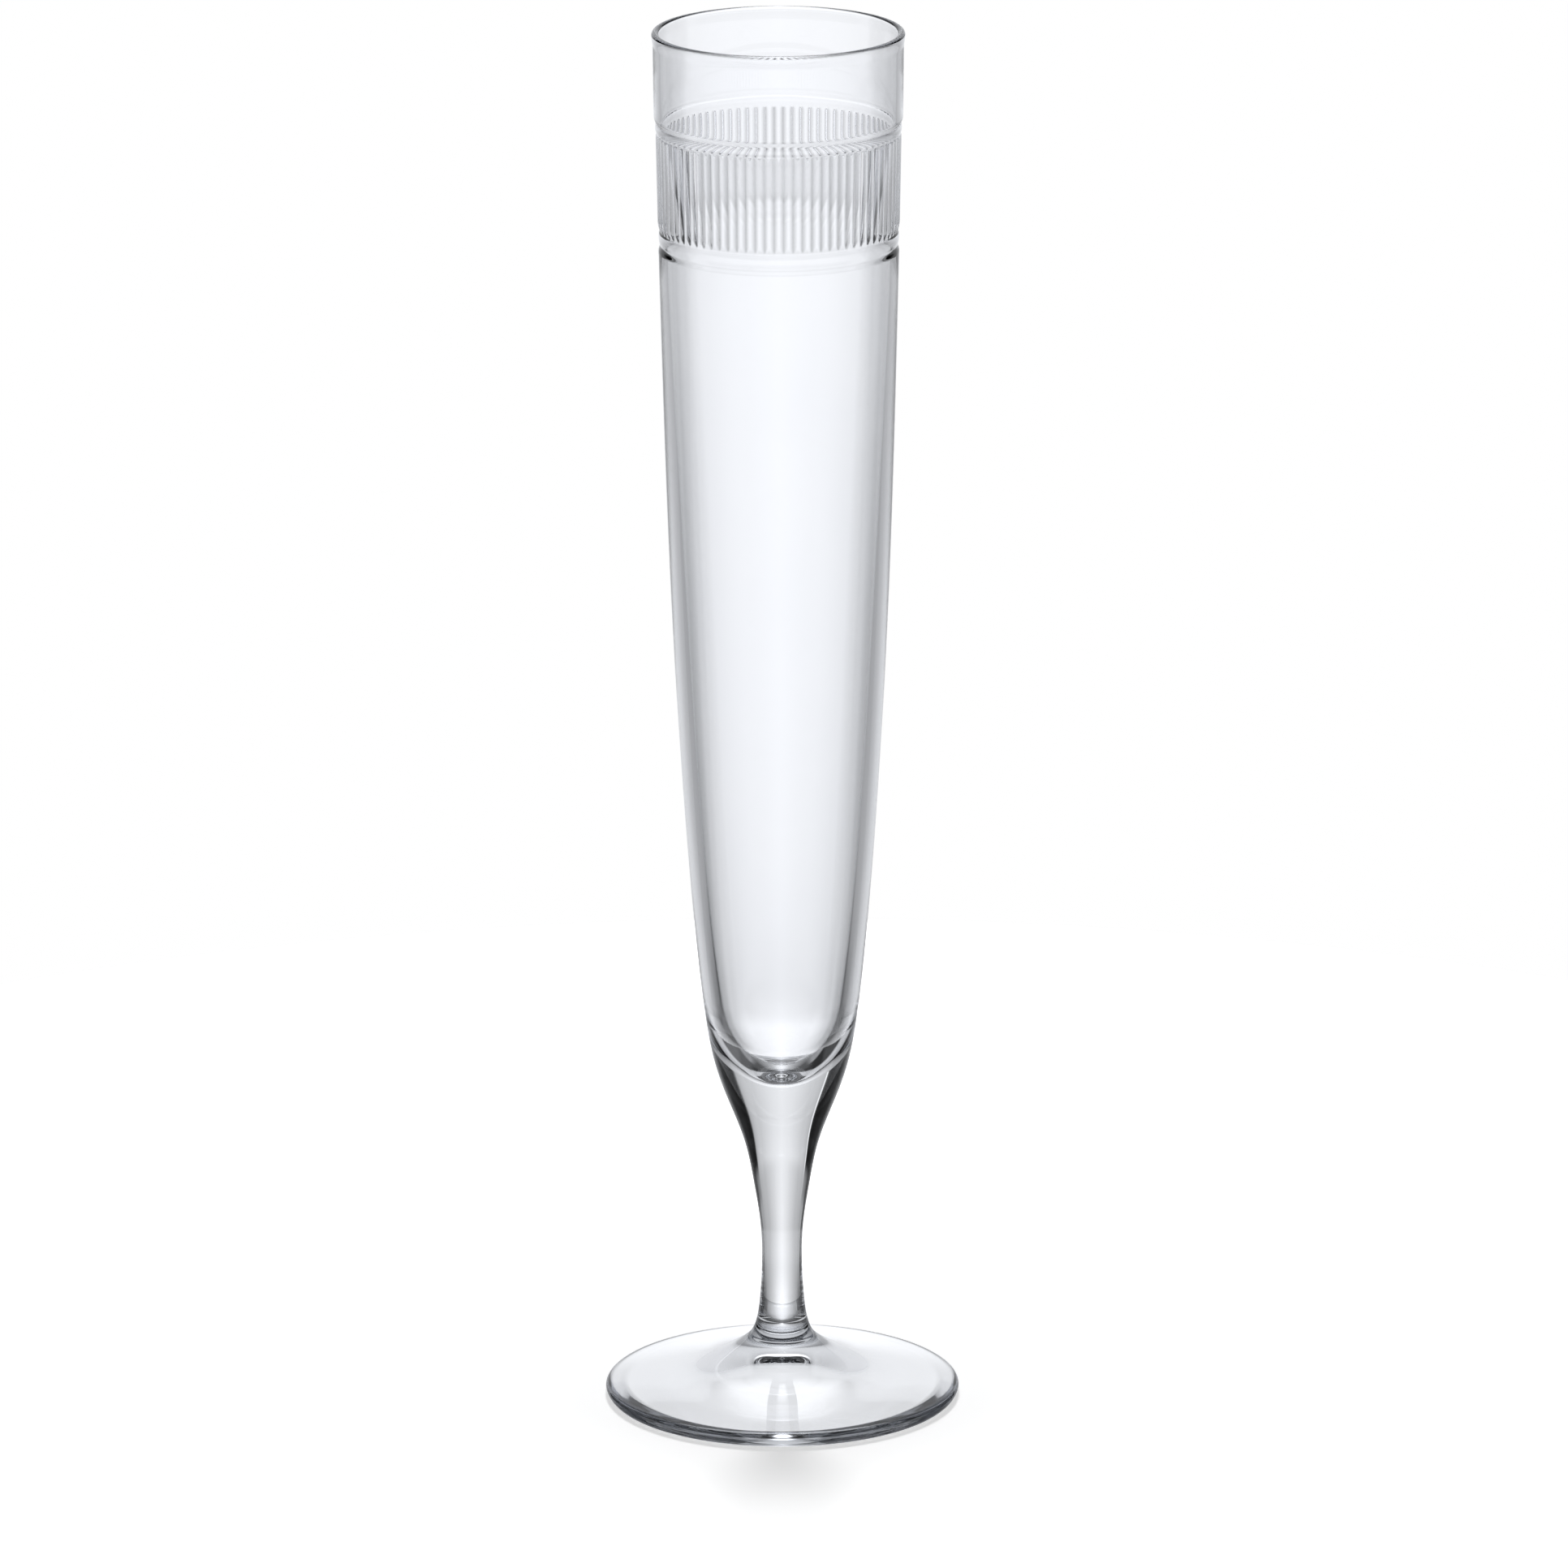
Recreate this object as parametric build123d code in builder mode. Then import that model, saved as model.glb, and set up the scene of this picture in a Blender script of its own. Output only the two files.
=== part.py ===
"""Champagne flute: a bowl, a stem and a foot of clear glass, fused end to end.

Units are millimetres.  +Z is up and the origin is the centre of the ring the
foot rests on.  Every profile is turned about the Z axis; only the reeded band
near the rim is not round.
"""

from build123d import *
import math
import os

os.makedirs("parts", exist_ok=True)

# Overall sizes
HEIGHT = 250.0
FOOT_RADIUS = 31.8

# Heights at which the three gathers of glass are fused together, and the
# radius and lean of the outside there (lean measured from straight down)
BOWL_JOINT_Z = 54.0
BOWL_JOINT_RADIUS = 9.09
BOWL_JOINT_LEAN = math.radians(21.9)
FOOT_JOINT_Z = 17.5
FOOT_JOINT_RADIUS = 4.02
FOOT_JOINT_LEAN = math.radians(5.5)

# Rim: a straight wall ending in a fire-polished lip slightly wider than it
LIP_RADIUS = 22.15
LIP_ROUND = 0.66
RIM_WALL_TOP = (21.93, 247.4)
RIM_WALL_FOOT = (21.8, 235.0)

# Fine bead above the reeds
UPPER_GROOVE_HIGH = (21.38, 233.9)
UPPER_BEAD_CREST = (21.56, 232.95)
UPPER_GROOVE_LOW = (21.36, 232.0)

# Reeded band: half-round ribs side by side, slightly tapered with the bowl
REED_COUNT = 80
REED_ROUND = 1.2
REED_CREST_TOP = (21.48, 230.9)
REED_CREST_BOTTOM = (21.2, 216.2)

# Fine bead below the reeds
LOWER_GROOVE_HIGH = (20.88, 214.7)
LOWER_BEAD_CREST = (21.06, 213.4)
LOWER_GROOVE_LOW = (20.9, 212.2)

# Outside of the body from below the lower bead down to the fused joint
BODY_TOP = (21.1, 211.2)
BODY_TOP_LEAN = math.radians(1.4)
BODY_POINTS = [
    BODY_TOP,
    (20.32, 180.0),
    (19.22, 148.0),
    (17.39, 114.0),
    (15.04, 84.0),
    (13.44, 70.0),
    (11.64, 61.0),
    (BOWL_JOINT_RADIUS, BOWL_JOINT_Z),
]

# Inside of the bowl: the wall thickens steadily towards a solid round bottom
INSIDE_BOTTOM_Z = 59.7
INSIDE_POINTS = [
    (LIP_RADIUS - 2 * LIP_ROUND, HEIGHT - LIP_ROUND),
    (20.56, 235.0),
    (19.5, 204.0),
    (17.7, 167.0),
    (15.5, 128.0),
    (12.9, 92.0),
    (10.9, 75.0),
    (7.6, 64.6),
    (0.0, INSIDE_BOTTOM_Z),
]

# Stem: drawn to its thinnest a little above the foot
STEM_POINTS = [
    (BOWL_JOINT_RADIUS, BOWL_JOINT_Z),
    (6.55, 47.0),
    (4.91, 39.0),
    (3.87, 32.0),
    (3.61, 25.5),
    (FOOT_JOINT_RADIUS, FOOT_JOINT_Z),
]

# Foot: a flared root running out into a thin disc with a rounded edge
FOOT_TOP_POINTS = [
    (FOOT_JOINT_RADIUS, FOOT_JOINT_Z),
    (4.54, 14.0),
    (5.56, 11.4),
    (8.7, 8.8),
    (14.0, 6.2),
    (22.0, 4.0),
    (30.5, 2.4),
]
FOOT_TOP_SLOPE = math.radians(8.5)
FOOT_EDGE_Z = 1.4
REST_RING_OUTER = 30.7
REST_RING_INNER = 27.6

# Underside of the foot: rises with the top, then domes up under the stem
UNDERSIDE_POINTS = [
    (REST_RING_INNER, 0.0),
    (21.0, 0.8),
    (15.0, 1.85),
    (11.0, 2.8),
    (8.5, 3.6),
    (6.0, 4.5),
    (3.0, 5.28),
    (0.0, 5.5),
]


def reed_section(crest, plane):
    """Scalloped outline of the reeds at one height, as a closed ring of arcs."""
    centre = crest - REED_ROUND
    half_pitch = math.pi / REED_COUNT
    valley = centre * math.cos(half_pitch) + math.sqrt(
        REED_ROUND**2 - (centre * math.sin(half_pitch)) ** 2
    )
    with BuildSketch(plane) as section:
        with BuildLine():
            for k in range(REED_COUNT):
                middle = 2 * half_pitch * k
                start = (
                    valley * math.cos(middle - half_pitch),
                    valley * math.sin(middle - half_pitch),
                )
                top = (crest * math.cos(middle), crest * math.sin(middle))
                end = (
                    valley * math.cos(middle + half_pitch),
                    valley * math.sin(middle + half_pitch),
                )
                ThreePointArc(start, top, end)
        make_face()
    return section.sketch.face()


# ---------------------------------------------------------------- bowl
REED_TAPER = (REED_CREST_TOP[0] - REED_CREST_BOTTOM[0]) / (
    REED_CREST_TOP[1] - REED_CREST_BOTTOM[1]
)
CORE_RADIUS = LOWER_GROOVE_HIGH[0] - 0.1
RING_INSIDE = CORE_RADIUS - 0.15

with BuildPart() as bowl:
    # reeds as one tapered fluted block ...
    low_crest = REED_CREST_TOP[0] + REED_TAPER * (LOWER_GROOVE_HIGH[1] - REED_CREST_TOP[1])
    high_crest = REED_CREST_TOP[0] + REED_TAPER * (UPPER_GROOVE_LOW[1] - REED_CREST_TOP[1])
    low_section = reed_section(low_crest, Plane.XY.offset(LOWER_GROOVE_HIGH[1]))
    high_section = reed_section(high_crest, Plane.XY.offset(UPPER_GROOVE_LOW[1]))
    loft(sections=[low_section, high_section], ruled=True)
    # ... trimmed to a ring whose ends round over, so each reed ends in an arch
    with BuildSketch(Plane.XZ):
        with BuildLine():
            Line((RING_INSIDE, LOWER_GROOVE_HIGH[1]), LOWER_GROOVE_HIGH)
            RadiusArc(LOWER_GROOVE_HIGH, REED_CREST_BOTTOM, -2.6)
            Line(REED_CREST_BOTTOM, REED_CREST_TOP)
            RadiusArc(REED_CREST_TOP, UPPER_GROOVE_LOW, -2.6)
            Line(UPPER_GROOVE_LOW, (RING_INSIDE, UPPER_GROOVE_LOW[1]))
            Line((RING_INSIDE, UPPER_GROOVE_LOW[1]), (RING_INSIDE, LOWER_GROOVE_HIGH[1]))
        make_face()
    revolve(axis=Axis.Z, mode=Mode.INTERSECT)
    # turned wall of the bowl, from the fused joint up over the lip and back down inside
    with BuildSketch(Plane.XZ):
        with BuildLine():
            Line((0, BOWL_JOINT_Z), (BOWL_JOINT_RADIUS, BOWL_JOINT_Z))
            Spline(
                *reversed(BODY_POINTS),
                tangents=(
                    (math.sin(BOWL_JOINT_LEAN), math.cos(BOWL_JOINT_LEAN)),
                    (math.sin(BODY_TOP_LEAN), math.cos(BODY_TOP_LEAN)),
                ),
            )
            Line(BODY_TOP, LOWER_GROOVE_LOW)
            ThreePointArc(LOWER_GROOVE_LOW, LOWER_BEAD_CREST, LOWER_GROOVE_HIGH)
            Line(LOWER_GROOVE_HIGH, (CORE_RADIUS, LOWER_GROOVE_HIGH[1]))
            Line((CORE_RADIUS, LOWER_GROOVE_HIGH[1]), (CORE_RADIUS, UPPER_GROOVE_LOW[1]))
            Line((CORE_RADIUS, UPPER_GROOVE_LOW[1]), UPPER_GROOVE_LOW)
            ThreePointArc(UPPER_GROOVE_LOW, UPPER_BEAD_CREST, UPPER_GROOVE_HIGH)
            Line(UPPER_GROOVE_HIGH, RIM_WALL_FOOT)
            Line(RIM_WALL_FOOT, RIM_WALL_TOP)
            Spline(
                RIM_WALL_TOP,
                (LIP_RADIUS, HEIGHT - LIP_ROUND),
                tangents=((0.01, 1.0), (0.0, 1.0)),
            )
            ThreePointArc(
                (LIP_RADIUS, HEIGHT - LIP_ROUND),
                (LIP_RADIUS - LIP_ROUND, HEIGHT),
                INSIDE_POINTS[0],
            )
            Spline(*INSIDE_POINTS, tangents=((-0.02, -1.0), (-1.0, 0.0)))
            Line((0, INSIDE_BOTTOM_Z), (0, BOWL_JOINT_Z))
        make_face()
    revolve(axis=Axis.Z)

# ---------------------------------------------------------------- stem
with BuildPart() as stem:
    with BuildSketch(Plane.XZ):
        with BuildLine():
            Line((0, BOWL_JOINT_Z), (BOWL_JOINT_RADIUS, BOWL_JOINT_Z))
            Spline(
                *STEM_POINTS,
                tangents=(
                    (-math.sin(BOWL_JOINT_LEAN), -math.cos(BOWL_JOINT_LEAN)),
                    (math.sin(FOOT_JOINT_LEAN), -math.cos(FOOT_JOINT_LEAN)),
                ),
            )
            Line((FOOT_JOINT_RADIUS, FOOT_JOINT_Z), (0, FOOT_JOINT_Z))
            Line((0, FOOT_JOINT_Z), (0, BOWL_JOINT_Z))
        make_face()
    revolve(axis=Axis.Z)

# ---------------------------------------------------------------- foot
with BuildPart() as foot:
    with BuildSketch(Plane.XZ):
        with BuildLine():
            Line((0, FOOT_JOINT_Z), (FOOT_JOINT_RADIUS, FOOT_JOINT_Z))
            Spline(
                *FOOT_TOP_POINTS,
                tangents=(
                    (math.sin(FOOT_JOINT_LEAN), -math.cos(FOOT_JOINT_LEAN)),
                    (math.cos(FOOT_TOP_SLOPE), -math.sin(FOOT_TOP_SLOPE)),
                ),
            )
            Spline(
                FOOT_TOP_POINTS[-1],
                (FOOT_RADIUS, FOOT_EDGE_Z),
                tangents=(
                    (math.cos(FOOT_TOP_SLOPE), -math.sin(FOOT_TOP_SLOPE)),
                    (0.0, -1.0),
                ),
            )
            Spline(
                (FOOT_RADIUS, FOOT_EDGE_Z),
                (REST_RING_OUTER, 0),
                tangents=((0.0, -1.0), (-1.0, 0.0)),
            )
            Line((REST_RING_OUTER, 0), (REST_RING_INNER, 0))
            Spline(*UNDERSIDE_POINTS, tangents=((-1.0, 0.1), (-1.0, 0.0)))
            Line(UNDERSIDE_POINTS[-1], (0, FOOT_JOINT_Z))
        make_face()
    revolve(axis=Axis.Z)

bowl.part.label = "bowl"
export_step(bowl.part, "parts/bowl.step")

stem.part.label = "stem"
export_step(stem.part, "parts/stem.step")

foot.part.label = "foot"
export_step(foot.part, "parts/foot.step")
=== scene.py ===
import math

import bpy
import numpy as np
from mathutils import Matrix, Vector


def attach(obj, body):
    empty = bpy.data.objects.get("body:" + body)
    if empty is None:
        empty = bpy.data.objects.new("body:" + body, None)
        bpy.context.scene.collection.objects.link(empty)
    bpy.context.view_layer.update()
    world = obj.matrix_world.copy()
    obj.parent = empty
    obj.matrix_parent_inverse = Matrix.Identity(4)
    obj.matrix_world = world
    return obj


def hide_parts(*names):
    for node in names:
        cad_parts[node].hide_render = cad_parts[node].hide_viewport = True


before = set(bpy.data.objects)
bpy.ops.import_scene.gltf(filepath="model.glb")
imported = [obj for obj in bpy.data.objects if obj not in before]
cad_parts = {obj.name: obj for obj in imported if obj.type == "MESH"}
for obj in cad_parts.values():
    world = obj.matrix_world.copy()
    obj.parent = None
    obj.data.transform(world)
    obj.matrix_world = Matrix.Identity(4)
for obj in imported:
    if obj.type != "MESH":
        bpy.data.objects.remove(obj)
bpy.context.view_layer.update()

MM = 0.001

# ---------------------------------------------------------------- sizes (mm)
# Points of an outline are (radius, height above the table).
BOWL_JOINT_Z = 54.0
FOOT_JOINT_Z = 17.5

# one smooth outline from under the lower bead, through both joints, to the foot's edge
BODY_LEAN = math.radians(1.4)
FOOT_SLOPE = math.radians(8.5)
OUTSIDE_POINTS = [
    (21.1, 211.2), (20.32, 180.0), (19.22, 148.0), (17.39, 114.0), (15.04, 84.0),
    (13.44, 70.0), (11.64, 61.0), (9.09, BOWL_JOINT_Z), (6.55, 47.0), (4.91, 39.0),
    (3.87, 32.0), (3.61, 25.5), (4.02, FOOT_JOINT_Z), (4.54, 14.0), (5.56, 11.4),
    (8.7, 8.8), (14.0, 6.2), (22.0, 4.0), (30.5, 2.4),
]
BODY_TAPER_KNOT = 5  # from this point down the body narrows quickly
BOWL_JOINT_KNOT = [z for _, z in OUTSIDE_POINTS].index(BOWL_JOINT_Z)
FOOT_JOINT_KNOT = [z for _, z in OUTSIDE_POINTS].index(FOOT_JOINT_Z)
BOWL_JOINT_RADIUS = OUTSIDE_POINTS[BOWL_JOINT_KNOT][0]
FOOT_JOINT_RADIUS = OUTSIDE_POINTS[FOOT_JOINT_KNOT][0]

# inside of the bowl, from the lip down to the axis
INSIDE_POINTS = [
    (20.83, 249.34), (20.56, 235.0), (19.5, 204.0), (17.7, 167.0), (15.5, 128.0),
    (12.9, 92.0), (10.9, 75.0), (7.6, 64.6), (0.0, 59.7),
]
INSIDE_BOTTOM_KNOT = 6

# reeded band between two fine beads; each reed is an arc of radius REED_ROUND
BODY_TOP = (21.1, 210.8)
LOWER_GROOVE_LOW = (20.9, 212.2)
LOWER_BEAD_CREST = (21.06, 213.4)
LOWER_GROOVE_HIGH = (20.88, 214.7)
REED_COUNT = 80
REED_ROUND = 1.2
REED_CREST_BOTTOM = (21.2, 216.2)
REED_CREST_TOP = (21.48, 230.9)
REED_BAND = (214.75, 231.95)
REED_CORE = 20.7
UPPER_GROOVE_LOW = (21.36, 232.0)
UPPER_BEAD_CREST = (21.56, 232.95)
UPPER_GROOVE_HIGH = (21.38, 233.9)

# plain wall and lip
RIM_WALL_FOOT = (21.8, 235.0)
RIM_WALL = [(21.81, 236.0), (21.84, 239.0), (21.89, 243.5)]
RIM_WALL_TOP = (21.93, 247.4)
LIP_OUTSIDE = (22.15, 249.34)
LIP_TOP = (21.49, 250.0)

# underside of the foot, from the axis to the flat ring it rests on, and its edge
UNDERSIDE_POINTS = [
    (0.0, 5.5), (3.0, 5.28), (6.0, 4.5), (8.5, 3.6), (11.0, 2.8), (15.0, 1.85), (21.0, 0.8),
    (27.6, 0.0),
]
REST_RING = [(28.3, 0.0), (29.15, 0.0), (30.0, 0.0)]
REST_RING_OUTER = (30.7, 0.0)
FOOT_EDGE = (31.8, 1.4)

# points round a plain ring and round a reeded ring
COARSE = 480
FINE = 960

# spacing of the rings along each stretch
BODY_STEP = 5.0
TAPER_STEP = 0.8
STEM_STEP = 0.5
FOOT_STEP = 0.35
INSIDE_STEP = 6.0
INSIDE_BOTTOM_STEP = 0.7

# how many steps each short bend or arc is drawn in (the underside: its shortest stretch)
GROOVE_STEPS = 10
BEAD_STEPS = 10
REED_END_STEPS = 7
SHOULDER_STEPS = 8
LIP_FLARE_STEPS = 4
LIP_STEPS = 12
UNDERSIDE_STEPS = 6
FOOT_EDGE_STEPS = 14
REED_ROWS = (0.05, 0.2, 0.5, 0.8, 0.95)  # rings along the reeds, as parts of their height
CAP_RING = 0.5  # the ring inside a joint face, as a part of its radius

# directions of an outline, as (outwards, upwards)
OUTWARDS = (1.0, 0.0)
INWARDS = (-1.0, 0.0)
UPWARDS = (0.0, 1.0)


# ---------------------------------------------------------------- curves
def spline(points, start, end):
    """Cubic spline with given end directions: its knots, their distances and its slopes there."""
    p = np.array(points, float)
    d = np.hypot(*np.diff(p, axis=0).T)
    n = len(p)
    a = np.eye(n)
    b = np.zeros((n, 2))
    b[0] = np.array(start) / math.hypot(*start)
    b[-1] = np.array(end) / math.hypot(*end)
    for i in range(1, n - 1):
        a[i, i - 1], a[i, i], a[i, i + 1] = d[i], 2 * (d[i - 1] + d[i]), d[i - 1]
        b[i] = 3 * (d[i - 1] * (p[i + 1] - p[i]) / d[i] + d[i] * (p[i] - p[i - 1]) / d[i - 1])
    return p, d, np.linalg.solve(a, b)


def walk(curve, first, last, step):
    """Points along a spline from knot `first` to knot `last`, about `step` apart."""
    p, d, slope = curve
    out = [tuple(p[first])]
    for i in range(first, last):
        count = max(1, round(d[i] / step))
        for k in range(1, count + 1):
            x = k / count
            q = (1 + 2 * x) * (1 - x) ** 2 * p[i] + x * (1 - x) ** 2 * d[i] * slope[i]
            q = q + x * x * (3 - 2 * x) * p[i + 1] + x * x * (x - 1) * d[i] * slope[i + 1]
            out.append(tuple(q))
    return out


def bend(points, start, end, count):
    """Points along a short spline, with `count` steps in its shortest stretch."""
    curve = spline(points, start, end)
    return walk(curve, 0, len(points) - 1, min(curve[1]) / count)


def arc(a, mid, b, count):
    """Points along the circular arc from a through mid to b."""
    (ax, ay), (bx, by), (cx, cy) = a, mid, b
    d = 2 * (ax * (by - cy) + bx * (cy - ay) + cx * (ay - by))
    sa, sb, sc = ax * ax + ay * ay, bx * bx + by * by, cx * cx + cy * cy
    ux = (sa * (by - cy) + sb * (cy - ay) + sc * (ay - by)) / d
    uy = (sa * (cx - bx) + sb * (ax - cx) + sc * (bx - ax)) / d
    r = math.hypot(ax - ux, ay - uy)
    t0 = math.atan2(ay - uy, ax - ux)
    sweep = (math.atan2(cy - uy, cx - ux) - t0) % (2 * math.pi)
    if (math.atan2(by - uy, bx - ux) - t0) % (2 * math.pi) > sweep:
        sweep -= 2 * math.pi
    turns = [t0 + sweep * k / count for k in range(count + 1)]
    return [(ux + r * math.cos(t), uy + r * math.sin(t)) for t in turns]


# ---------------------------------------------------------------- profiles
OUTSIDE = spline(
    OUTSIDE_POINTS,
    (-math.sin(BODY_LEAN), -1.0),
    (math.cos(FOOT_SLOPE), -math.sin(FOOT_SLOPE)),
)
INSIDE = spline(INSIDE_POINTS, (-0.02, -1.0), INWARDS)


def bowl_profile():
    """Up the outside from the joint, over the lip, and down the inside to the axis."""
    rows = [(0.0, BOWL_JOINT_Z), (CAP_RING * BOWL_JOINT_RADIUS, BOWL_JOINT_Z)]
    rows += walk(OUTSIDE, BODY_TAPER_KNOT, BOWL_JOINT_KNOT, TAPER_STEP)[::-1]
    rows += walk(OUTSIDE, 0, BODY_TAPER_KNOT, BODY_STEP)[::-1][1:-1]
    # lower bead, reeds and upper bead
    rows += bend([BODY_TOP, LOWER_GROOVE_LOW], (0.03, 1.0), (0.15, 1.0), GROOVE_STEPS)
    rows += arc(LOWER_GROOVE_LOW, LOWER_BEAD_CREST, LOWER_GROOVE_HIGH, BEAD_STEPS)[1:]
    reed_foot = [LOWER_GROOVE_HIGH, REED_CREST_BOTTOM]
    rows += bend(reed_foot, (0.35, 1.0), (0.02, 1.0), REED_END_STEPS)[1:]
    (r0, z0), (r1, z1) = REED_CREST_BOTTOM, REED_CREST_TOP
    rows += [(r0 + (r1 - r0) * t, z0 + (z1 - z0) * t) for t in REED_ROWS]
    rows += bend([REED_CREST_TOP, UPPER_GROOVE_LOW], (0.02, 1.0), (-0.3, 1.0), REED_END_STEPS)
    rows += arc(UPPER_GROOVE_LOW, UPPER_BEAD_CREST, UPPER_GROOVE_HIGH, BEAD_STEPS)[1:]
    # plain wall and lip
    shoulder = [UPPER_GROOVE_HIGH, RIM_WALL_FOOT]
    rows += bend(shoulder, (0.6, 0.8), (0.01, 1.0), SHOULDER_STEPS)[1:]
    rows += RIM_WALL
    rows += bend([RIM_WALL_TOP, LIP_OUTSIDE], (0.01, 1.0), UPWARDS, LIP_FLARE_STEPS)
    rows += arc(LIP_OUTSIDE, LIP_TOP, INSIDE_POINTS[0], LIP_STEPS)[1:]
    # inside
    rows += walk(INSIDE, 0, INSIDE_BOTTOM_KNOT, INSIDE_STEP)[1:]
    rows += walk(INSIDE, INSIDE_BOTTOM_KNOT, len(INSIDE_POINTS) - 1, INSIDE_BOTTOM_STEP)[1:]
    return rows


def stem_profile():
    """Up the outside from the foot to the bowl, with a level face at each end."""
    rows = [(0.0, FOOT_JOINT_Z), (CAP_RING * FOOT_JOINT_RADIUS, FOOT_JOINT_Z)]
    rows += walk(OUTSIDE, BOWL_JOINT_KNOT, FOOT_JOINT_KNOT, STEM_STEP)[::-1]
    rows += [(CAP_RING * BOWL_JOINT_RADIUS, BOWL_JOINT_Z), (0.0, BOWL_JOINT_Z)]
    return rows


def foot_profile():
    """Out along the underside, round the edge, and up the top to the level face."""
    up_the_slope = (-math.cos(FOOT_SLOPE), math.sin(FOOT_SLOPE))
    rows = bend(UNDERSIDE_POINTS, OUTWARDS, (1.0, -0.1), UNDERSIDE_STEPS)
    rows += REST_RING
    rows += bend([REST_RING_OUTER, FOOT_EDGE], OUTWARDS, UPWARDS, FOOT_EDGE_STEPS)
    rows += bend([FOOT_EDGE, OUTSIDE_POINTS[-1]], UPWARDS, up_the_slope, FOOT_EDGE_STEPS)[1:]
    rows += walk(OUTSIDE, FOOT_JOINT_KNOT, len(OUTSIDE_POINTS) - 1, FOOT_STEP)[::-1][1:]
    rows += [(CAP_RING * FOOT_JOINT_RADIUS, FOOT_JOINT_Z), (0.0, FOOT_JOINT_Z)]
    return rows


# ---------------------------------------------------------------- meshes
def reeded(r, z, angles):
    """Radii round one row of the band: reeds of a plain arc, cut back where the row is narrower."""
    (r0, z0), (r1, z1) = REED_CREST_BOTTOM, REED_CREST_TOP
    centre = r0 + (z - z0) * (r1 - r0) / (z1 - z0) - REED_ROUND
    pitch = 2 * math.pi / REED_COUNT
    off = (angles + pitch / 2) % pitch - pitch / 2
    reed = centre * np.cos(off) + np.sqrt(REED_ROUND**2 - (centre * np.sin(off)) ** 2)
    return np.minimum(reed, r)


def build_rings(rows):
    """Vertices of all rows, and (first vertex, count, reeded or not) for each ring."""
    verts = [(0.0, 0.0, rows[0][1] * MM)]
    rings = []
    for r, z in rows[1:-1]:
        band = REED_BAND[0] < z < REED_BAND[1] and r > REED_CORE
        count = FINE if band else COARSE
        angles = np.arange(count) * 2 * math.pi / count
        radii = reeded(r, z, angles) if band else np.full(count, r)
        rings.append((len(verts), count, band))
        xs, ys = radii * np.cos(angles), radii * np.sin(angles)
        verts += [(x * MM, y * MM, z * MM) for x, y in zip(xs, ys)]
    verts.append((0.0, 0.0, rows[-1][1] * MM))
    return verts, rings


def build_faces(rings, last_vertex):
    """Faces between the rings and fans at both ends, and which span each face is in."""
    faces, spans = [], []
    base, count, _ = rings[0]
    for j in range(count):
        faces.append((0, base + (j + 1) % count, base + j))
        spans.append(0)
    for k in range(len(rings) - 1):
        (low, n_low, _), (high, n_high, _) = rings[k], rings[k + 1]
        n = min(n_low, n_high)
        step_low, step_high = n_low // n, n_high // n
        for j in range(n):
            under = [low + (j * step_low + i) % n_low for i in range(step_low + 1)]
            over = [high + (j * step_high + i) % n_high for i in range(step_high, -1, -1)]
            faces.append(tuple(under + over))
            spans.append(k + 1)
    base, count, _ = rings[-1]
    for j in range(count):
        faces.append((base + j, base + (j + 1) % count, last_vertex))
        spans.append(len(rings))
    return faces, np.array(spans)


def find_creases(mesh, rings, flat):
    """Edges that stay sharp: the rim of a joint face, and the valley between two reeds."""
    ends = np.empty(len(mesh.edges) * 2, dtype=np.int32)
    mesh.edges.foreach_get("vertices", ends)
    ends = ends.reshape(-1, 2)
    crease = np.zeros(len(mesh.edges), dtype=bool)
    rims = [rings[flat[0] - 1]] if flat[0] else []
    rims += [rings[-flat[1]]] if flat[1] else []
    for base, count, _ in rims:
        crease |= ((ends >= base) & (ends < base + count)).all(axis=1)
    per_reed = FINE // REED_COUNT
    a, b = ends.min(axis=1), ends.max(axis=1)
    for (low, n_low, band_low), (high, _, band_high) in zip(rings, rings[1:]):
        if band_low and band_high:
            along = (a >= low) & (a < low + n_low) & (b - a == high - low)
            crease |= along & ((a - low) % per_reed == per_reed // 2)
    return crease


def turned(name, rows, flat):
    """Closed mesh turned from a profile that starts and ends on the axis.

    `flat` says how many spans at the start and at the end of the profile are the
    level face where the piece is fused to the next one; they get material 1.
    """
    verts, rings = build_rings(rows)
    faces, spans = build_faces(rings, len(verts) - 1)
    mesh = bpy.data.meshes.new(name)
    mesh.from_pydata(verts, [], faces)
    mesh.update()
    joint = (spans < flat[0]) | (spans > len(rings) - flat[1])
    mesh.polygons.foreach_set("material_index", joint.astype(np.int32))
    mesh.polygons.foreach_set("use_smooth", np.ones(len(faces), dtype=bool))
    sharp = mesh.attributes.new("sharp_edge", "BOOLEAN", "EDGE")
    sharp.data.foreach_set("value", find_creases(mesh, rings, flat))
    piece = bpy.data.objects.new(name, mesh)
    bpy.context.scene.collection.objects.link(piece)
    return piece


# ---------------------------------------------------------------- materials
GLASS_INDEX = 1.52
TINT_COOL = (0.984, 0.986, 0.992, 1)
TINT_CLEAR = (0.996, 0.997, 1.0, 1)
TINT_DRIFT = 60.0  # scale of the noise that the tint follows
DEPTH_COLOUR = (0.5, 0.52, 0.55, 1)
BODY_DENSITY = 8.0
FOOT_DENSITY = 20.0

FLOOR_COLOUR = (0.9, 0.9, 0.9, 1)
FLOOR_ROUGHNESS = 0.9
# painted light: the floor glows by itself, dimmer close to the glass, which is painted shade round
# the foot
PAINTED_LIGHT_COLOUR = (1, 1, 1, 1)
PAINTED_LIGHT_RISE = (0.034, 0.072)  # distances from the axis between which the painted light rises
PAINTED_LIGHT_LEVELS = (0.57, 0.88)


def empty_material(name):
    """A node material with nothing but its output: the material, its nodes, the output."""
    material = bpy.data.materials.new(name)
    material.use_nodes = True
    tree = material.node_tree
    tree.nodes.clear()
    return material, tree, tree.nodes.new("ShaderNodeOutputMaterial")


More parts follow.
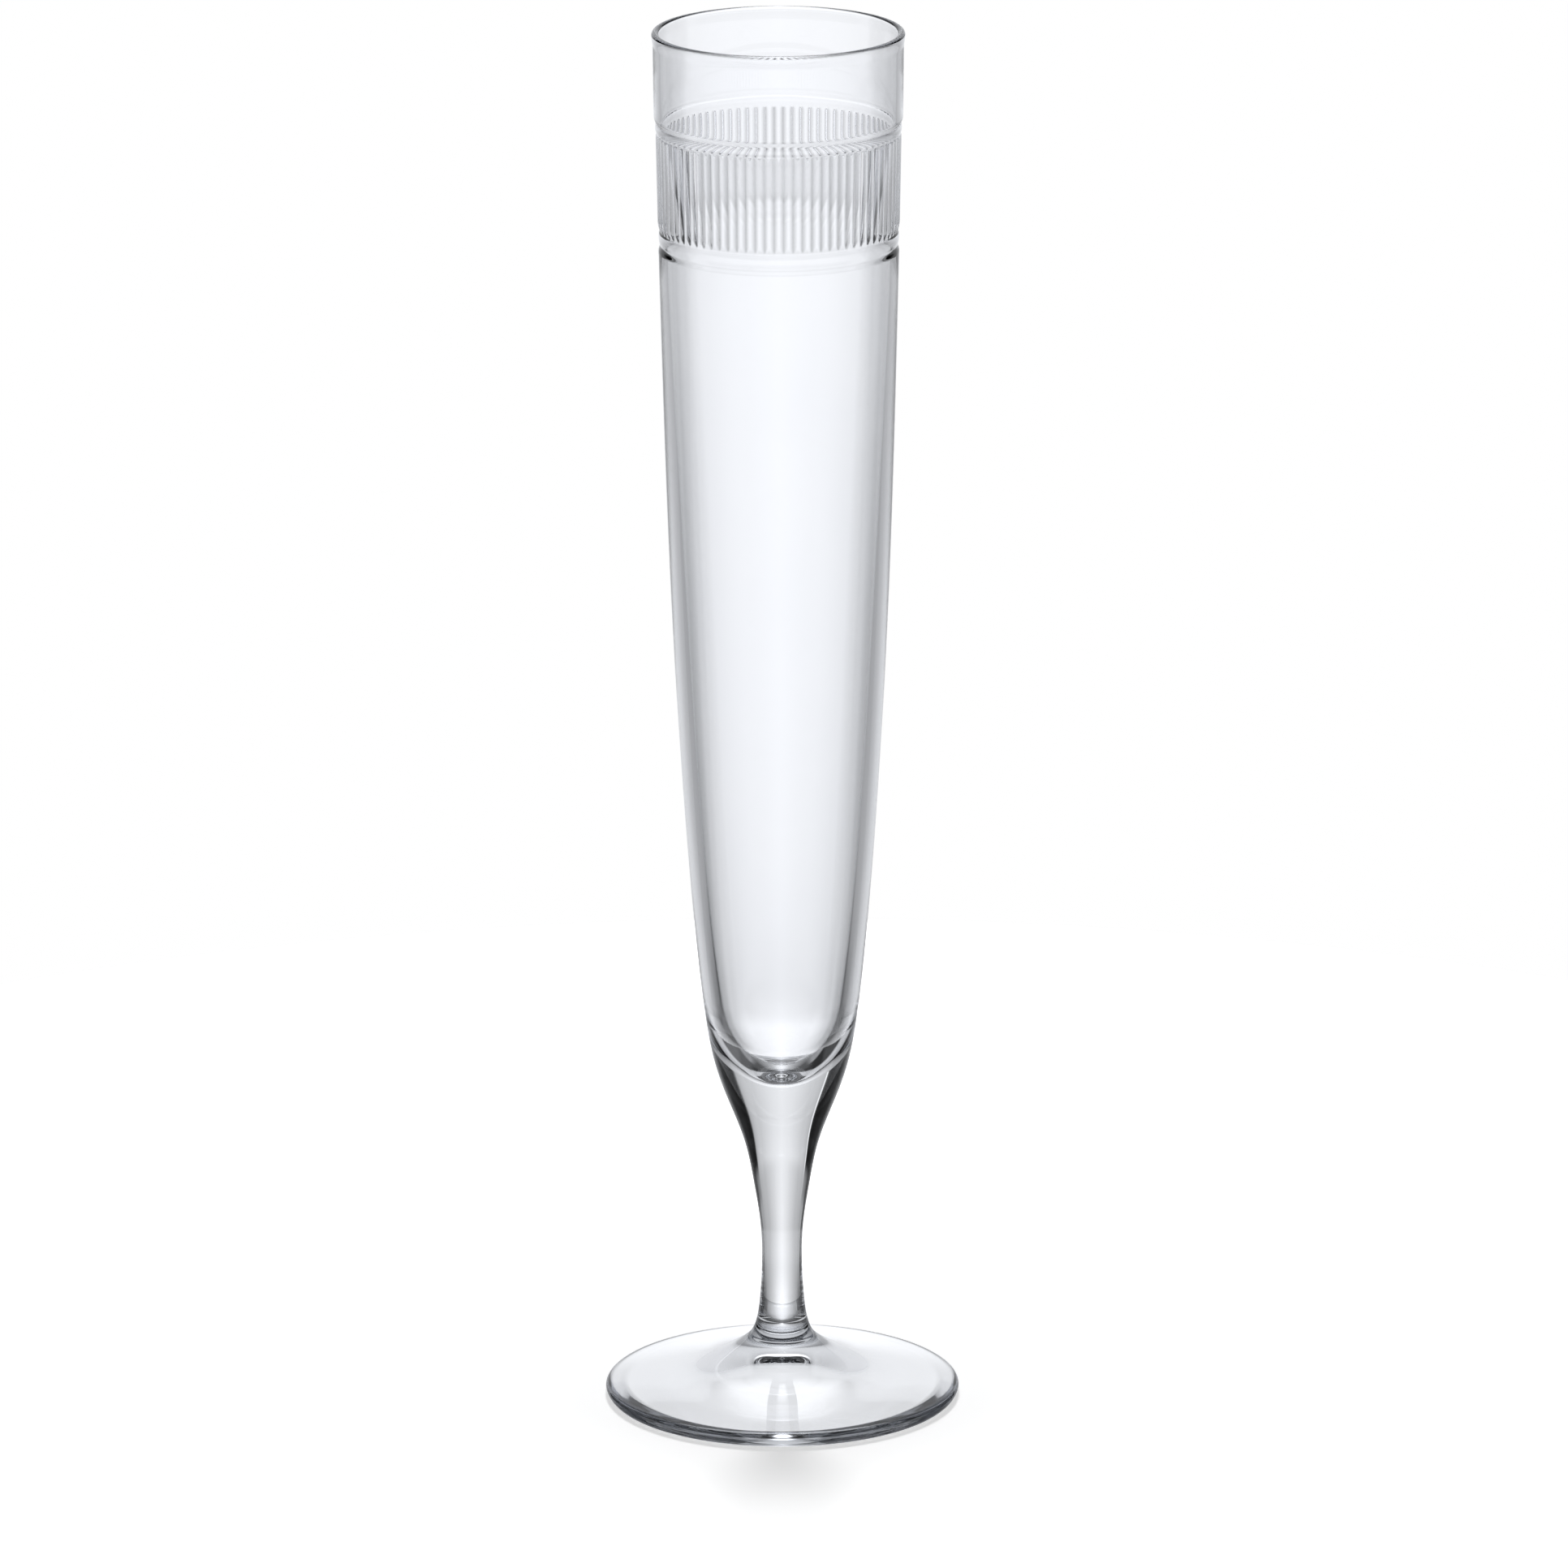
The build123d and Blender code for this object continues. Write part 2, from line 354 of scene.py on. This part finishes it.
def glass(name, density):
    """Clear glass with a very faint drift of tint; long paths through it go grey."""
    material, tree, out = empty_material(name)
    clear = tree.nodes.new("ShaderNodeBsdfGlass")
    clear.inputs["Roughness"].default_value = 0.0
    clear.inputs["IOR"].default_value = GLASS_INDEX
    place = tree.nodes.new("ShaderNodeTexCoord")
    noise = tree.nodes.new("ShaderNodeTexNoise")
    noise.inputs["Scale"].default_value = TINT_DRIFT
    noise.inputs["Detail"].default_value = 1.0
    tint = tree.nodes.new("ShaderNodeValToRGB")
    tint.color_ramp.elements[0].color = TINT_COOL
    tint.color_ramp.elements[1].color = TINT_CLEAR
    depth = tree.nodes.new("ShaderNodeVolumeAbsorption")
    depth.inputs["Color"].default_value = DEPTH_COLOUR
    depth.inputs["Density"].default_value = density
    tree.links.new(place.outputs["Object"], noise.inputs["Vector"])
    tree.links.new(noise.outputs["Fac"], tint.inputs["Fac"])
    tree.links.new(tint.outputs["Color"], clear.inputs["Color"])
    tree.links.new(clear.outputs["BSDF"], out.inputs["Surface"])
    tree.links.new(depth.outputs["Volume"], out.inputs["Volume"])
    return material


def joint_face(name):
    """Where two glass pieces are fused there is no surface to see."""
    material, tree, out = empty_material(name)
    see_through = tree.nodes.new("ShaderNodeBsdfTransparent")
    tree.links.new(see_through.outputs["BSDF"], out.inputs["Surface"])
    return material


def floor_with_painted_light(name):
    """Matt white with painted light: its own glow grows away from the glass, so it is painted
    darker round the foot and the shadow fades out.
    """
    material = bpy.data.materials.new(name)
    material.use_nodes = True
    tree = material.node_tree
    paint = tree.nodes["Principled BSDF"]
    paint.inputs["Base Color"].default_value = FLOOR_COLOUR
    paint.inputs["Roughness"].default_value = FLOOR_ROUGHNESS
    paint.inputs["Specular IOR Level"].default_value = 0.0
    paint.inputs["Emission Color"].default_value = PAINTED_LIGHT_COLOUR
    place = tree.nodes.new("ShaderNodeTexCoord")
    away = tree.nodes.new("ShaderNodeVectorMath")
    away.operation = "LENGTH"
    rise = tree.nodes.new("ShaderNodeMapRange")
    rise.interpolation_type = "SMOOTHSTEP"
    rise.inputs["From Min"].default_value = PAINTED_LIGHT_RISE[0]
    rise.inputs["From Max"].default_value = PAINTED_LIGHT_RISE[1]
    rise.inputs["To Min"].default_value = PAINTED_LIGHT_LEVELS[0]
    rise.inputs["To Max"].default_value = PAINTED_LIGHT_LEVELS[1]
    tree.links.new(place.outputs["Object"], away.inputs[0])
    tree.links.new(away.outputs["Value"], rise.inputs["Value"])
    # painted light: the emission is lower near the glass (painted shade) and higher further out
    tree.links.new(rise.outputs["Result"], paint.inputs["Emission Strength"])
    return material


# ---------------------------------------------------------------- pieces
PIECES = [
    # name, profile, level spans at its start and end, density of the grey
    ("bowl", bowl_profile(), (2, 0), BODY_DENSITY),
    ("stem", stem_profile(), (2, 2), BODY_DENSITY),
    ("foot", foot_profile(), (0, 2), FOOT_DENSITY),
]
fused = joint_face("fused_joint")
for name, rows, flat, density in PIECES:
    piece = turned("glass_" + name, rows, flat)
    piece.data.materials.append(glass(name + "_glass", density))
    piece.data.materials.append(fused)
    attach(piece, "root")
    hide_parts(name)

# ---------------------------------------------------------------- stage (m)
scene = bpy.context.scene
FLOOR_RADIUS = 0.30
FLOOR_SIDES = 96
FLOOR_Z = -0.00005
LAMP_BACK = 0.5
LAMP_UP = 0.6
LAMP_SIZE = 0.14
LAMP_POWER = 2.0


def make_floor():
    """Round white floor.  The glass sees the light sweep in its place."""
    angles = [2 * math.pi * k / FLOOR_SIDES for k in range(FLOOR_SIDES)]
    ring = [(FLOOR_RADIUS * math.cos(a), FLOOR_RADIUS * math.sin(a), FLOOR_Z) for a in angles]
    mesh = bpy.data.meshes.new("floor")
    mesh.from_pydata(ring, [], [tuple(range(FLOOR_SIDES))])
    mesh.materials.append(floor_with_painted_light("floor_with_painted_light"))
    floor = bpy.data.objects.new("floor", mesh)
    scene.collection.objects.link(floor)
    floor.visible_transmission = False
    floor.visible_glossy = False


def make_lamp():
    """A lamp high behind the glass that lights only the floor, for the shadow in front."""
    data = bpy.data.lights.new("lamp", "AREA")
    data.shape = "DISK"
    data.size = LAMP_SIZE
    data.energy = LAMP_POWER
    lamp = bpy.data.objects.new("lamp", data)
    scene.collection.objects.link(lamp)
    lamp.location = (0.0, LAMP_BACK, LAMP_UP)
    lamp.rotation_euler = (-math.atan2(LAMP_BACK, LAMP_UP), 0.0, 0.0)
    lamp.visible_camera = False
    lamp.visible_transmission = False
    lamp.visible_glossy = False


make_floor()
make_lamp()

# ---------------------------------------------------------------- light
# A white sweep behind the glass fades sideways to black flags, with a slot of light
# straight to each side, and a broad light stands high up at the back.  Each list says
# how bright one belt of height is: (degrees from straight back, brightness).  A second
# list is for the left side where it differs.
DEEP_BELT = [
    (0, 1.3), (8, 1.12), (14, 0.85), (20, 0.62), (28, 0.45), (35, 0.3), (42, 0.12), (58, 0.10),
    (64, 0.05), (74, 0.05), (80, 0.7), (100, 0.7), (106, 0.06), (130, 0.15), (180, 0.3),
]
LOW_BELT = [
    (0, 1.0), (6, 0.91), (12, 0.78), (18, 0.68), (25, 0.56), (33, 0.47), (42, 0.43), (51, 0.41),
    (55, 0.15), (78, 0.15), (83, 0.75), (97, 0.85), (115, 1.05), (130, 1.2), (180, 1.4),
]
LOW_BELT_LEFT = [
    (6, 0.92), (12, 0.80), (18, 0.70), (25, 0.58), (33, 0.48), (52, 0.41), (55, 0.03),
    (78, 0.03), (83, 0.75), (97, 0.85), (115, 1.05), (130, 1.2), (180, 1.4),
]
MIDDLE_BELT = [
    (0, 1.03), (10, 0.92), (20, 0.76), (31, 0.57), (35, 0.45), (37, 0.01), (78, 0.01),
    (83, 0.6), (97, 0.6), (102, 0.01), (110, 0.01), (140, 0.1), (180, 0.15),
]
MIDDLE_BELT_LEFT = [
    (10, 0.94), (20, 0.78), (31, 0.57), (34, 0.5), (34.5, 1.2), (36, 1.2), (36.5, 0.01),
    (78, 0.01), (83, 0.6), (97, 0.6), (102, 0.01), (110, 0.01), (140, 0.1), (180, 0.15),
]
HIGH_BELT = [(0, 3.4), (11, 3.2), (22, 0.3), (36, 0.03), (180, 0.03)]
TOP_LEVEL = 0.1

# heights (z of the direction) between which one belt fades into the next
DEEP_TO_LOW = (-0.50, -0.32)
LOW_TO_MIDDLE = (-0.10, -0.02)
MIDDLE_TO_HIGH = (0.62, 0.72)
HIGH_TO_TOP = (0.84, 0.92)
FLAG_LEAN = 0.067  # how far the flags lean inwards with height, in turns
RAMP_SCALE = 3.0  # a ramp holds brightness divided by this
SWEEP_COLOUR = (0.962, 0.975, 1.0, 1)
PLAIN_WHITE = (1, 1, 1, 1)

world = bpy.data.worlds.new("studio")
scene.world = world
world.use_nodes = True
sky = world.node_tree
sky.nodes.clear()


def calc(operation, a, b=None):
    """One sum on numbers or sockets."""
    node = sky.nodes.new("ShaderNodeMath")
    node.operation = operation
    for socket, value in zip(node.inputs, (a, b)):
        if isinstance(value, (int, float)):
            socket.default_value = value
        elif value is not None:
            sky.links.new(value, socket)
    return node.outputs[0]


def smooth(value, low, high):
    """Rises smoothly from 0 to 1 as value goes from low to high."""
    node = sky.nodes.new("ShaderNodeMapRange")
    node.interpolation_type = "SMOOTHSTEP"
    sky.links.new(value, node.inputs["Value"])
    node.inputs["From Min"].default_value = low
    node.inputs["From Max"].default_value = high
    return node.outputs["Result"]


def blend(a, b, t):
    """a where t is 0, b where t is 1."""
    return calc("ADD", calc("MULTIPLY", a, calc("SUBTRACT", 1.0, t)), calc("MULTIPLY", b, t))


def grey(level):
    """Colour of a ramp stop for one brightness."""
    return (level / RAMP_SCALE, level / RAMP_SCALE, level / RAMP_SCALE, 1)


def belt(turn, right, left=None):
    """Brightness round one belt; turn is 0.5 straight back and grows to the right."""
    stops = [(-angle, level) for angle, level in reversed(left or right) if angle] + list(right)
    node = sky.nodes.new("ShaderNodeValToRGB")
    sky.links.new(turn, node.inputs["Fac"])
    elements = node.color_ramp.elements
    elements[0].position, elements[1].position = 0.0, 1.0
    for element, (_, level) in zip(elements, (stops[0], stops[-1])):
        element.color = grey(level)
    for angle, level in stops[1:-1]:
        elements.new((angle + 180) / 360).color = grey(level)
    return calc("MULTIPLY", node.outputs["Color"], RAMP_SCALE)


direction = sky.nodes.new("ShaderNodeTexCoord")
split = sky.nodes.new("ShaderNodeSeparateXYZ")
sky.links.new(direction.outputs["Generated"], split.inputs[0])
x, y, z = split.outputs
turn = calc("ADD", calc("DIVIDE", calc("ARCTAN2", x, y), 2 * math.pi), 0.5)
leaning = calc("ADD", turn, calc("MULTIPLY", calc("MULTIPLY", calc("SIGN", x), z), FLAG_LEAN))
low = belt(turn, LOW_BELT, LOW_BELT_LEFT)
middle = belt(leaning, MIDDLE_BELT, MIDDLE_BELT_LEFT)
level = blend(low, middle, smooth(z, *LOW_TO_MIDDLE))
level = blend(belt(turn, DEEP_BELT), level, smooth(z, *DEEP_TO_LOW))
level = blend(level, belt(turn, HIGH_BELT), smooth(z, *MIDDLE_TO_HIGH))
level = blend(level, TOP_LEVEL, smooth(z, *HIGH_TO_TOP))

# the camera itself sees plain white behind the glass
glow = sky.nodes.new("ShaderNodeBackground")
glow.inputs["Color"].default_value = SWEEP_COLOUR
sky.links.new(level, glow.inputs["Strength"])
plain = sky.nodes.new("ShaderNodeBackground")
plain.inputs["Color"].default_value = PLAIN_WHITE
pick = sky.nodes.new("ShaderNodeMixShader")
path = sky.nodes.new("ShaderNodeLightPath")
sky.links.new(path.outputs["Is Camera Ray"], pick.inputs["Fac"])
sky.links.new(glow.outputs[0], pick.inputs[1])
sky.links.new(plain.outputs[0], pick.inputs[2])
world_out = sky.nodes.new("ShaderNodeOutputWorld")
sky.links.new(pick.outputs[0], world_out.inputs["Surface"])

# light passes many faces of clear glass before it leaves
GLASS_BOUNCES = 32
MIRROR_BOUNCES = 16
scene.view_settings.view_transform = "Standard"
scene.cycles.max_bounces = GLASS_BOUNCES
scene.cycles.transmission_bounces = GLASS_BOUNCES
scene.cycles.glossy_bounces = MIRROR_BOUNCES
scene.cycles.transparent_max_bounces = GLASS_BOUNCES

# ---------------------------------------------------------------- camera
CAMERA_PLACE = (0.0, -1.8627, 0.6391)
SENSOR_WIDTH = 36.0
LENS = 250.2
PITCH = math.radians(15.753)
YAW = math.radians(-0.019)
ROLL = math.radians(-0.17)

camera_data = bpy.data.cameras.new("camera")
camera_data.sensor_width = SENSOR_WIDTH
camera_data.lens = LENS
camera = bpy.data.objects.new("camera", camera_data)
scene.collection.objects.link(camera)
camera.matrix_world = (
    Matrix.Translation(Vector(CAMERA_PLACE))
    @ Matrix.Rotation(YAW, 4, "Z")
    @ Matrix.Rotation(math.pi / 2 - PITCH, 4, "X")
    @ Matrix.Rotation(ROLL, 4, "Z")
)
scene.camera = camera
